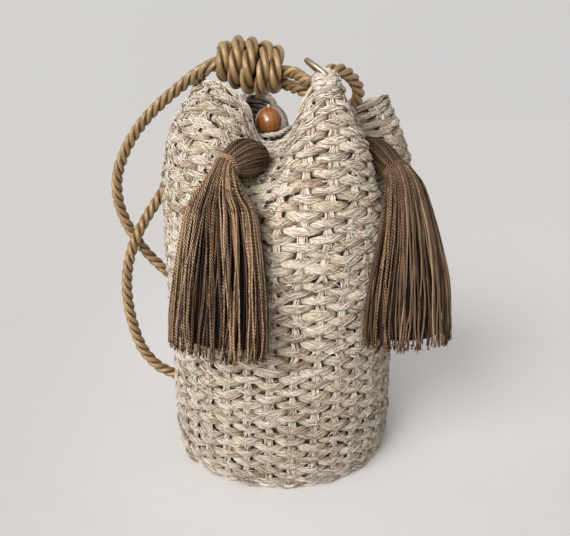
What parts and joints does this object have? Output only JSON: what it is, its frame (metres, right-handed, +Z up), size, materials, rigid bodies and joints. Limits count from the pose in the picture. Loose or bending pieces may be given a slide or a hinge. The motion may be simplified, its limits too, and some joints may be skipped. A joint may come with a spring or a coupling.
{
  "type": "straw backpack",
  "caption": "Crocheted straw bucket backpack with a pinched, lobed mouth, bead-and-loop closure, yarn tassels, a ring and a knotted twisted-cord strap.",
  "frame": {"origin": "Centre of the base's underside, where the bag stands.", "axes": "+Z up the bag's axis, -Y is the side that faces the viewer, with the tassels in front; +X is to the viewer's right."},
  "size_m": [0.2552, 0.2501, 0.3158],
  "materials": {
    "straw": "crocheted straw, matt",
    "bead": "polished",
    "ring": "satin",
    "cord": "twisted satin cord",
    "tassel": "twisted cotton yarn"
  },
  "bodies": {
    "root": {"bag_body": "straw", "closure_bead": "bead", "bead_stem": "straw", "bead_loop": "straw", "lobe_ring": "ring", "strap_eye": "cord", "strap_knot": "cord", "strap_left": "cord", "strap_right": "cord", "strap_left_stop": "cord", "strap_right_stop": "cord", "tassel_left": "tassel", "tassel_left_tie": "tassel", "tassel_right": "tassel", "tassel_right_tie": "tassel"}
  },
  "joints": []
}
